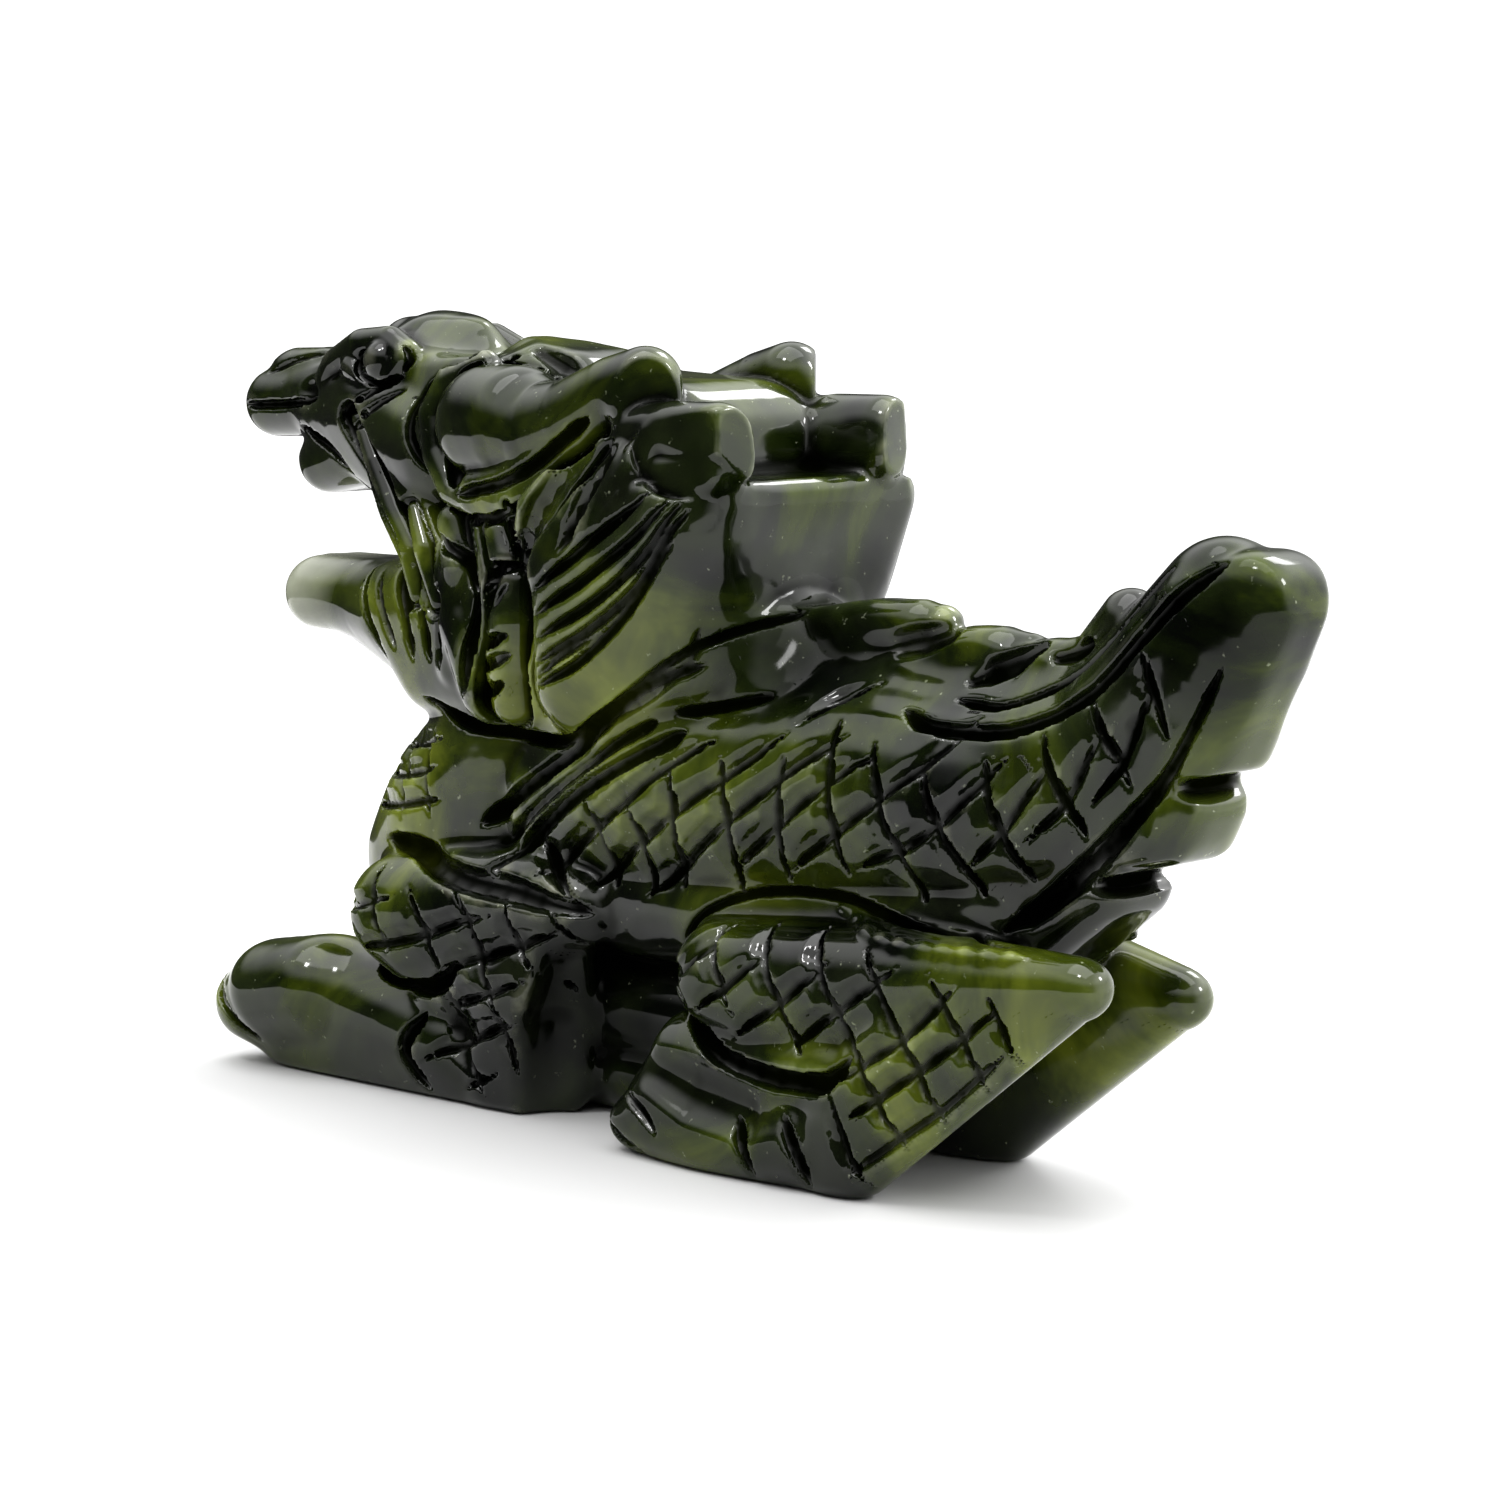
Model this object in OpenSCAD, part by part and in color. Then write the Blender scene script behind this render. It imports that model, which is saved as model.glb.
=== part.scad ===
// Carved stone dragon that crouches on four feet, faces -X and curls its tail up at +X.
// The stone is one block. Each node is one carved form of it, cut off where it meets its neighbours.
// Frame: millimetres, +Z up, origin on the ground under the middle of the bounding box.

/* [Overall] */
// Length from the tip of the nose to the end of the tail
overall_length = 75; // [60:1:120]
// Facets round each rounded form
smoothness = 20; // [16:4:28]

/* [Body] */
// Half the width of the body across its flanks
flank = 6.5; // [5.5:0.1:7.5]
// Half the width of the figure across its legs
stance = 8; // [7:0.1:9]

/* [Head] */
// Half the width of the mane at its widest
mane_half = 8.6; // [7.5:0.1:9.5]
// Half the width of the skull
skull_half = 6.2; // [5.5:0.1:7]
// Height that the lower jaw drops, which opens or closes the mouth
jaw_drop = 0; // [-1:0.1:0.5]

/* [Hidden] */

nose_end = -40.5;                // where the figure starts and ends, at the size it is drawn
tail_end = 34.5;
middle = (nose_end + tail_end) / 2;
k = overall_length / (tail_end - nose_end);
left = -1;
right = 1;
jade = "darkolivegreen";
jade_light = "olivedrab";
big = 200;                       // larger than the figure, for cutting it off at a plane

// ---- building blocks -------------------------------------------------------------------------

// A ball at p = [x, y, z, radius].
module ball(p) {
    translate([p[0], p[1], p[2]]) sphere(r = p[3], $fn = smoothness);
}

// A limb that runs through the balls in order.
module limb(path) {
    for (i = [0 : len(path) - 2])
        hull() { ball(path[i]); ball(path[i + 1]); }
}

// One rounded form stretched over all of the balls.
module form(balls) {
    hull() for (p = balls) ball(p);
}

// The same balls on both sides of the middle plane.
function both(balls) = concat(balls, [for (p = balls) [p[0], -p[1], p[2], p[3]]]);

// A side outline of points [x, z], rounded at its corners, from y = inner to y = outer on the left.
module side_slab(outline, inner, outer, round) {
    translate([0, -inner, 0]) rotate([90, 0, 0])
        linear_extrude(outer - inner)
            offset(round, $fn = smoothness) offset(-round) polygon(outline);
}

// Forms are drawn on the left, at y < 0. side = -1 is the left of the figure and 1 its right.
module on_side(side) {
    mirror([0, side > 0 ? 1 : 0, 0]) children();
}

// Everything above the ground, so that soles are flat.
module grounded() {
    intersection() {
        children();
        translate([-big / 2, -big / 2, 0]) cube(big);
    }
}

// ---- the forms, each a little deeper than the surface that it is cut off at -------------------

module torso_form() {
    form([[-12.5, 0, 17, flank - 0.9], [-5, 0, 18.6, flank]]);
    form([[-5, 0, 18.6, flank], [7, 0, 19.4, flank - 0.1]]);
    form([[7, 0, 19.4, flank - 0.1], [16, 0, 19.6, flank - 0.7], [19.5, 0, 20, flank - 1.4]]);
}

module chest_form() {
    form([[-17.5, 0, 19.6, 5.4], [-22.5, 0, 15.2, 5.6], [-25.6, 0, 12.4, 4.6], [-20, 0, 11, 5]]);
}

// Underside of the body, between the legs.
module belly_form() {
    form(both([[-14, 1, 12.4, 3.6], [0, 1.6, 12.4, 3.4], [13, 1.6, 13, 3.2], [18, 1, 15, 3.2]]));
}

// Sloping back of the neck, between the flanks and the mane.
module neck_form() {
    form([[4, 0, 21.6, 4.6], [-6, 0, 22.2, 6.3], [-11, 0, 23, 5.6], [-7.5, 0, 31, 5.4]]);
}

// The tail rises behind the hips and ends in a blunt, upturned tip.
module tail_form() {
    form([[16, 0, 20, 5.4], [23, 0, 22.6, 4]]);
    form([[23, 0, 22.6, 4], [26.4, 0, 26.6, 3.5]]);
    form([[26.4, 0, 26.6, 3.5], [29.6, 0, 30.2, 3.2]]);
    form([[23, 0, 22.6, 4], [16, 0, 20, 5.4], [19, 0, 15.4, 3.6]]);
}

// Flame-shaped fringe down the back of the tail, with two slanting notches.
module tail_fringe_form() {
    intersection() {
        side_slab([[25, 24], [29, 32.6], [31.8, 33.3], [33.9, 32.4], [tail_end, 30.4], [33.8, 26.8],
                   [32.8, 23.9], [31.6, 22.6], [27.8, 21.9], [29.9, 20.9], [29.5, 19.4], [28.3, 18], [22.6, 16.6],
                   [25.6, 16], [25.2, 14.6], [22.6, 11.6], [15, 11.6], [14, 16]], -3.2, 3.2, 0.35);
        form(both([[15, 2, 13, 2.2], [19, 1.6, 13.4, 2.2], [26.6, 1, 19.8, 2.6],
                   [32, 0.9, 30.4, 2.5], [25, 1.6, 29, 2.4]]));
    }
}

fins = [[-2, 11.4, 29], [8.4, 17, 28.1], [14.4, 20.8, 27.9]];   // [x of root, x of tip, z of tip]

// A flame that leans back along the spine, with a hook under its tip.
module back_fin_form(i) {
    root = fins[i][0];
    tip = fins[i][1];
    top = fins[i][2];
    span = tip - root;
    side_slab([[root - 1, top - 6], [root, top - 2.8], [root + span * 0.35, top - 0.8],
               [root + span * 0.75, top], [tip, top - 0.1], [tip - 0.5, top - 1.3],
               [tip - span * 0.24, top - 1.8], [tip - span * 0.22, top - 6]], -1.5, 1.5, 0.3);
}

module skull_form() {
    form(both([[-15.5, skull_half - 4, 36.2, 4], [-4, skull_half - 3.2, 36.4, 3.2],
               [-15, skull_half - 3.8, 31.5, 3.8], [-6, skull_half - 3.6, 30.5, 4]]));
}

// The domed forehead between the eyes and the back of the nose.
module brow_form() {
    form(both([[-25.2, 1, 39.6, 3.1], [-21, 1.4, 39, 3], [-20, 2.4, 36, 3.4]]));
    form(both([[-21, 1.4, 39, 3], [-13, 1.6, 38.4, 2.6], [-12, 2, 36, 3]]));
}

module snout_form() {
    form(both([[-35.2, 1.6, 37.8, 1.9], [-28, 2.2, 37.4, 3.1], [-21.5, 3, 35.6, 3.4], [-23, 2.6, 33, 2.4],
               [-31, 2, 36.4, 2]]));
}

// Four rounded lobes: two that project, and two above and behind them.
module nose_tip_form() {
    for (side = [-1, 1]) {
        form([[nose_end + 2, side * 1.4, 37.4, 2], [-34.5, side * 1.6, 37.6, 2]]);
        form([[-37.4, side * 1.1, 39.2, 1.4], [-34, side * 1.3, 39.2, 1.5]]);
    }
}

// Upper lip with its pair of blunt front teeth.
module fangs_form() {
    form(both([[-33.8, 1.6, 34.2, 1.8], [-30.4, 1.8, 35, 2]]));
}

module lower_jaw_form() {
    translate([0, 0, -jaw_drop])
        form(both([[-26, 2.6, 26.8, 2.5], [-20, 3.4, 27.6, 2.8], [-14, 3.2, 28, 3.4],
                   [-22.6, 2.6, 23.4, 2.7], [-13.5, 3.4, 23.8, 3.3]]));
}

// The tongue juts forward over the lower lip.
module tongue_form() {
    translate([0, 0, -jaw_drop])
        form(both([[-34, 0.9, 26.9, 1.7], [-26.5, 2, 26.2, 2.8], [-24.5, 1.5, 24, 2.4]]));
}

// The mane sweeps from the throat up and back to a flat rear, and is flat across its top.
module mane_form() {
    edge = mane_half - 1;
    intersection() {
            form([[-8.4, 4 - mane_half, 24, 3.2], [-8.4, mane_half - 4, 24, 3.2],
                  [-1, 4.6 - mane_half, 26, 3], [-1, mane_half - 4.6, 26, 3],
                  [0.8, 2.2 - mane_half, 29.6, 1.4], [0.8, mane_half - 2.2, 29.6, 1.4],
                  [2, -edge, 34, 1], [2, edge, 34, 1],
                  [-1.6, 1.5 - mane_half, 31.4, 1.5], [-1.6, mane_half - 1.5, 31.4, 1.5],
                  [-8, 2.6 - mane_half, 31, 2.6], [-8, mane_half - 2.6, 31, 2.6],
                  [-4, 2.6 - mane_half, 34.6, 2], [-4, mane_half - 2.6, 34.6, 2]]);
        translate([-big / 2, -big / 2, 34.8 - big]) cube(big);
    }
}

// Spiral curl behind the nostril, at the end of a ribbon that runs back from the nose.
module nose_curl_form() {
    turn = 290;                    // degrees that the curl winds through
    beads = 9;
    centre = [-25.5, 39.9];
    start = 3.2;                   // radius of the curl where it starts, above the lip
    tighten = 1.9;                 // how much that radius shrinks over the curl
    limb([for (i = [0 : beads - 1])
              let (t = i / (beads - 1), a = 205 - turn * t, r = start - tighten * t)
              [centre[0] + r * cos(a), -3.8, centre[1] + 0.62 * r * sin(a), 0.95]]);
    form([[-32, -2.6, 37.8, 1.3], [-28.5, -3.4, 38.8, 1.3]]);
}

// A bulging eye that its lid draws out into a comma, ending in a short upright tip.
module eye_form() {
    form([[-15.8, -4.6, 37, 3.3], [-11, -5, 35.9, 2.5]]);
    form([[-11, -5, 35.9, 2.5], [-5, -5.6, 38.3, 1.8]]);
    form([[-5, -5.6, 38.3, 1.8], [-3.6, -5.6, 39.6, 1.6]]);
}

module horn_form() {
    form([[-4.5, -5, 36.4, 1.8], [-0.6, -6, 37.2, 1.5], [2.8, -6, 37.3, 1.5], [2.8, -5.6, 35.8, 1.3]]);
}

// Leaf-shaped ear that lies back along the mane.
module ear_form() {
    form([[-9.2, -7, 29.6, 1.3], [-8, -6.8, 33, 1.5], [-3.4, -6.8, 35.6, 1.4], [-5.4, -7.4, 31.6, 1.3]]);
}

// Lock that hangs from the corner of the mouth to the throat.
module whisker_form() {
    limb([[-26, -3.6, 36, 1.1], [-23.4, -4.4, 33, 1.4], [-20.4, -5, 30, 1.5], [-17.4, -5.2, 26.4, 1.8],
          [-15.6, -5.2, 22.9, 1.9]]);
}

// Twisted lock that hangs from under the eye to the throat.
module beard_form() {
    limb([[-15.4, -5.2, 32.6, 1.6], [-13.6, -5.6, 28.6, 1.8], [-13, -5.4, 24.6, 2]]);
}

module upper_arm_form() {
    form([[-23.4, 3 - stance, 10, 3.2], [-21.6, 3.2 - stance, 8.8, 3], [-12, 3.6 - stance, 12, 2.6],
          [-9.4, 3.4 - stance, 11.8, 2.2], [-18, 3.4 - stance, 11.4, 2.8]]);
}

module forearm_form() {
    grounded()
        form([[-12, 3.6 - stance, 9.4, 2.5], [-15.2, 3.8 - stance, 5.4, 2.6], [-16.6, 4.2 - stance, 1.2, 2.4],
              [-13, 4.4 - stance, 1, 2.1]]);
}

module front_foot_form() {
    grounded() {
        form([[-33.8, 3.2 - stance, 4.2, 2.8], [-32.6, 3.4 - stance, 1.6, 2.6], [-35.6, 3 - stance, 2.4, 1.8],
              [-29.4, 3.4 - stance, 4.8, 3]]);
        form([[-32.6, 3.4 - stance, 1.6, 2.6], [-29.4, 3.4 - stance, 4.8, 3], [-20, 3.6 - stance, 3, 2.6],
              [-18, 4 - stance, 1.4, 2.2]]);
    }
}

thigh_tip = [[26.2, 2.4, 12.4], [24, 3.4, 10.2]];   // left, right: [x, y inside the stance, z]

function tip_of(side) = thigh_tip[side < 0 ? 0 : 1];

module thigh_form(tip) {
    form([[2, 3 - stance, 9.8, 2.9], [5, 3.2 - stance, 9, 3], [14, 3.2 - stance, 11.2, 2.6],
          [tip[0], tip[1] - stance, tip[2], 1.5]]);
}

module shank_form(tip) {
    grounded()
        form([[tip[0] - 0.6, tip[1] - stance, tip[2] - 0.4, 1.3], [15, 3 - stance, 8.6, 2.6],
              [11, 2.4 - stance, 1, 1.7], [8.4, 2.8 - stance, 1.6, 2.2]]);
}

module rear_foot_form() {
    grounded() {
        form([[-3, 2 - stance, 2, 2.2], [-0.6, 2.2 - stance, 4.2, 2.4], [3.6, 2.6 - stance, 4.4, 2.4],
              [8.6, 2.6 - stance, 2.2, 2.5], [2, 2.2 - stance, 1.4, 2.4]]);
    }
}

// ---- the nodes: each form less the ones that it grows out of -----------------------------------

// Centres the figure over the origin and brings it to its real size.
module placed(side = -1) {
    scale(k) translate([-middle, 0, 0]) on_side(side) children();
}

module torso() color(jade) placed() torso_form();
module chest() color(jade) placed() difference() { chest_form(); torso_form(); }
module belly() color(jade) placed() difference() { belly_form(); torso_form(); chest_form(); }
module neck() color(jade) placed() difference() { neck_form(); torso_form(); chest_form(); }
module tail() color(jade) placed() difference() { tail_form(); torso_form(); belly_form(); }
module tail_fringe() color(jade_light) placed()
    difference() { tail_fringe_form(); torso_form(); belly_form(); tail_form(); }
module back_fin(i) color(jade_light) placed()
    difference() {
        back_fin_form(i);
        torso_form();
        tail_form();
        neck_form();
        if (i > 0) back_fin_form(i - 1);
    }

module skull() color(jade) placed() difference() { skull_form(); neck_form(); }
module brow() color(jade) placed() difference() { brow_form(); skull_form(); }
module snout() color(jade) placed() difference() { snout_form(); skull_form(); brow_form(); }
module nose_tip() color(jade) placed() difference() { nose_tip_form(); snout_form(); }
module fangs() color(jade) placed() difference() { fangs_form(); snout_form(); nose_tip_form(); }
module lower_jaw() color(jade) placed()
    difference() { lower_jaw_form(); skull_form(); neck_form(); chest_form(); torso_form(); }
module tongue() color(jade_light) placed()
    difference() { tongue_form(); lower_jaw_form(); chest_form(); }
module mane() color(jade) placed()
    difference() {
        mane_form();
        skull_form();
        neck_form();
        torso_form();
        chest_form();
        lower_jaw_form();
        for (side = [left, right])
            on_side(side) { ear_form(); eye_form(); }
    }

module nose_curl(side) color(jade) placed(side)
    difference() { nose_curl_form(); snout_form(); brow_form(); nose_tip_form(); }
module eye(side) color(jade) placed(side)
    difference() { eye_form(); skull_form(); brow_form(); snout_form(); }
module horn(side) color(jade) placed(side)
    difference() { horn_form(); skull_form(); eye_form(); mane_form(); }
module ear(side) color(jade_light) placed(side)
    difference() { ear_form(); skull_form(); eye_form(); horn_form(); }
module whisker(side) color(jade_light) placed(side)
    difference() {
        whisker_form();
        skull_form();
        snout_form();
        lower_jaw_form();
        tongue_form();
        chest_form();
        neck_form();
        torso_form();
    }
module beard(side) color(jade_light) placed(side)
    difference() {
        beard_form();
        skull_form();
        eye_form();
        lower_jaw_form();
        whisker_form();
        chest_form();
        neck_form();
        mane_form();
        torso_form();
    }

module upper_arm(side) color(jade) placed(side)
    difference() { upper_arm_form(); torso_form(); chest_form(); belly_form(); }
module forearm(side) color(jade) placed(side)
    difference() { forearm_form(); upper_arm_form(); torso_form(); chest_form(); belly_form(); }
module front_foot(side) color(jade) placed(side)
    difference() { front_foot_form(); forearm_form(); upper_arm_form(); chest_form(); }
module thigh(side) color(jade) placed(side)
    difference() {
        thigh_form(tip_of(side));
        torso_form();
        belly_form();
        tail_form();
        tail_fringe_form();
    }
module shank(side) color(jade) placed(side)
    difference() {
        shank_form(tip_of(side));
        thigh_form(tip_of(side));
        torso_form();
        belly_form();
        tail_form();
        tail_fringe_form();
    }
module rear_foot(side) color(jade) placed(side)
    difference() { rear_foot_form(); shank_form(tip_of(side)); thigh_form(tip_of(side)); }

torso();
chest();
belly();
neck();
tail();
tail_fringe();
back_fin(0);  // back_fin_front
back_fin(1);  // back_fin_middle
back_fin(2);  // back_fin_rear
skull();
brow();
snout();
nose_tip();
fangs();
lower_jaw();
tongue();
mane();
nose_curl(left);  // nose_curl_left
nose_curl(right);  // nose_curl_right
eye(left);  // eye_left
eye(right);  // eye_right
horn(left);  // horn_left
horn(right);  // horn_right
ear(left);  // ear_left
ear(right);  // ear_right
whisker(left);  // whisker_left
whisker(right);  // whisker_right
beard(left);  // beard_left
beard(right);  // beard_right
upper_arm(left);  // upper_arm_left
upper_arm(right);  // upper_arm_right
forearm(left);  // forearm_left
forearm(right);  // forearm_right
front_foot(left);  // front_foot_left
front_foot(right);  // front_foot_right
thigh(left);  // thigh_left
thigh(right);  // thigh_right
shank(left);  // shank_left
shank(right);  // shank_right
rear_foot(left);  // rear_foot_left
rear_foot(right);  // rear_foot_right
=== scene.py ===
"""Looks of the carved stone dragon. The stone is sculpted as one distance field that starts from the CAD
forms, and is then cut back into one piece for each CAD node, so that pieces meet without a visible seam."""

import math

import bpy
import numpy as np
import openvdb
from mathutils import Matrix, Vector


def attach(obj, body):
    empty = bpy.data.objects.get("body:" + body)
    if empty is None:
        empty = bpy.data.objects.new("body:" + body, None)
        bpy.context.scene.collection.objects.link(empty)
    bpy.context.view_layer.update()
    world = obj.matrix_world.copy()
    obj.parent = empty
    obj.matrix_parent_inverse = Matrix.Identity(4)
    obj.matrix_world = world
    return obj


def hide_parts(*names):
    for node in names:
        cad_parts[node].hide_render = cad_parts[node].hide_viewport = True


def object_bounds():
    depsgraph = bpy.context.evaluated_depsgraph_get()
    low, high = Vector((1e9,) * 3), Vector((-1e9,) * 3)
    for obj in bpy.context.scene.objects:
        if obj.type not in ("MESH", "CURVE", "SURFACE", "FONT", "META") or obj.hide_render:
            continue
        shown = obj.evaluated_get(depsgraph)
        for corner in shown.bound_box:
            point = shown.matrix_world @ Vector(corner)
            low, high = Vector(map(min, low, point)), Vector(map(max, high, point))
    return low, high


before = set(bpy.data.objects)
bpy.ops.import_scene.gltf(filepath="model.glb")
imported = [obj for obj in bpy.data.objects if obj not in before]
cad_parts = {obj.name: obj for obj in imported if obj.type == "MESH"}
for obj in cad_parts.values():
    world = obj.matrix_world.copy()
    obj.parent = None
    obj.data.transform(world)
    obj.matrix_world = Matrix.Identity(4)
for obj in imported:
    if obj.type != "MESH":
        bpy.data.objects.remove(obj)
size_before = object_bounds()

# ---- units ------------------------------------------------------------------------------------------------
# The carving is laid out in units of 1/75 of the figure's length, from the middle of its base.

LOW, HIGH = (np.array(corner, float) for corner in size_before)
UNIT = (HIGH[0] - LOW[0]) / 75.0
CENTRE = np.array([(LOW[0] + HIGH[0]) / 2, (LOW[1] + HIGH[1]) / 2, LOW[2]])
VOXEL = 0.17
BAND = 9               # voxels on each side of the surface where distances are kept
BOTH = (1, -1)         # the left side as it is, and its mirror image

CLOSED_GAP = 0.12      # forms of the CAD that are this close are joined
EDGE_BLUR = 0.3        # rounds every edge
CREASE_BLUR = 0.7      # fills narrow creases, up to CREASE_FILL under the surface
CREASE_FILL = 0.16
MARGIN = 1.2           # how far round a form the distance field is worked out again
LINE_STEP = 0.28       # between the points along a carved line
LINE_JUMP = 1.1        # a line breaks where the stone under it steps back by more than this
LINE_PART = 5          # steps of a carved line that are worked out at once
LINE_FROM, LINE_TO = 48.0, -30.0     # how far out the search for the stone under a line starts, and ends
LINE_SMOOTH = [0.15, 0.2, 0.3, 0.2, 0.15]      # weights that even out how deep a line lies
RELIEF_BLUR = 0.45     # the relief and thin layers hold the distance field blurred by these
THIN_BLUR = 1.7
RELIEF_SPAN = 0.35     # the relief runs from minus this in a groove to plus this on an edge


def to_units(points):
    return (np.asarray(points, float) - CENTRE) / UNIT


def to_metres(points):
    return np.asarray(points, float) * UNIT + CENTRE


LOW_U, HIGH_U = to_units(LOW), to_units(HIGH)
ORIGIN = np.floor(LOW_U / VOXEL - 7) * VOXEL + VOXEL / 2
SHAPE = tuple(int(n) for n in np.ceil((HIGH_U - ORIGIN) / VOXEL + 8))
AXES = [ORIGIN[a] + VOXEL * np.arange(SHAPE[a]) for a in range(3)]


# ---- distance fields --------------------------------------------------------------------------------------


def level_set(points, triangles):
    """Signed distance of a closed mesh, on the whole grid, in units, clipped to the band."""
    grid = openvdb.FloatGrid.createLevelSetFromPolygons(
        (np.asarray(points) - ORIGIN).astype(np.float32),
        triangles=triangles.astype(np.uint32),
        transform=openvdb.createLinearTransform(voxelSize=VOXEL),
        halfWidth=float(BAND),
    )
    out = np.empty(SHAPE, np.float32)
    grid.copyToArray(out)
    return out


def rebuild(field, level):
    """Distances measured afresh from where the field crosses a level."""
    grid = openvdb.FloatGrid()
    grid.background = float(BAND * VOXEL)
    grid.transform = openvdb.createLinearTransform(voxelSize=VOXEL)
    grid.copyFromArray(field)
    points, triangles, quads = grid.convertToPolygons(isovalue=level)
    both = np.concatenate([triangles, quads[:, [0, 1, 2]], quads[:, [0, 2, 3]]])
    return level_set(points + ORIGIN, both)


def node_mesh(name):
    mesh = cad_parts[name].data
    mesh.calc_loop_triangles()
    co = np.zeros(len(mesh.vertices) * 3, np.float32)
    mesh.vertices.foreach_get("co", co)
    tri = np.zeros(len(mesh.loop_triangles) * 3, np.int32)
    mesh.loop_triangles.foreach_get("vertices", tri)
    return to_units(co.reshape(-1, 3)), tri.reshape(-1, 3)


def blurred(field, sigma):
    """Gaussian blur, with sigma in units."""
    reach = max(1, int(math.ceil(2.6 * sigma / VOXEL)))
    taps = np.exp(-0.5 * (np.arange(-reach, reach + 1) * VOXEL / sigma) ** 2)
    taps = (taps / taps.sum()).astype(np.float32)
    out = field
    for axis in range(3):
        pad = [(0, 0)] * 3
        pad[axis] = (reach, reach)
        wide = np.pad(out, pad, mode="edge")
        total = np.zeros_like(field)
        for i, w in enumerate(taps):
            cut = [slice(None)] * 3
            cut[axis] = slice(i, i + field.shape[axis])
            total += w * wide[tuple(cut)]
        out = total
    return out


def smooth_min(a, b, k):
    h = np.clip(0.5 + 0.5 * (b - a) / k, 0.0, 1.0)
    return b * (1 - h) + a * h - k * h * (1 - h)


def sample(field, points):
    """The field at points in grid steps."""
    top = np.array(field.shape) - 1.001
    p = np.clip(points, 0, top)
    i = p.astype(int)
    f = p - i
    total = 0
    for dx in (0, 1):
        for dy in (0, 1):
            for dz in (0, 1):
                w = (f[:, 0] if dx else 1 - f[:, 0]) * (f[:, 1] if dy else 1 - f[:, 1])
                w = w * (f[:, 2] if dz else 1 - f[:, 2])
                total = total + w * field[i[:, 0] + dx, i[:, 1] + dy, i[:, 2] + dz]
    return total


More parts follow.
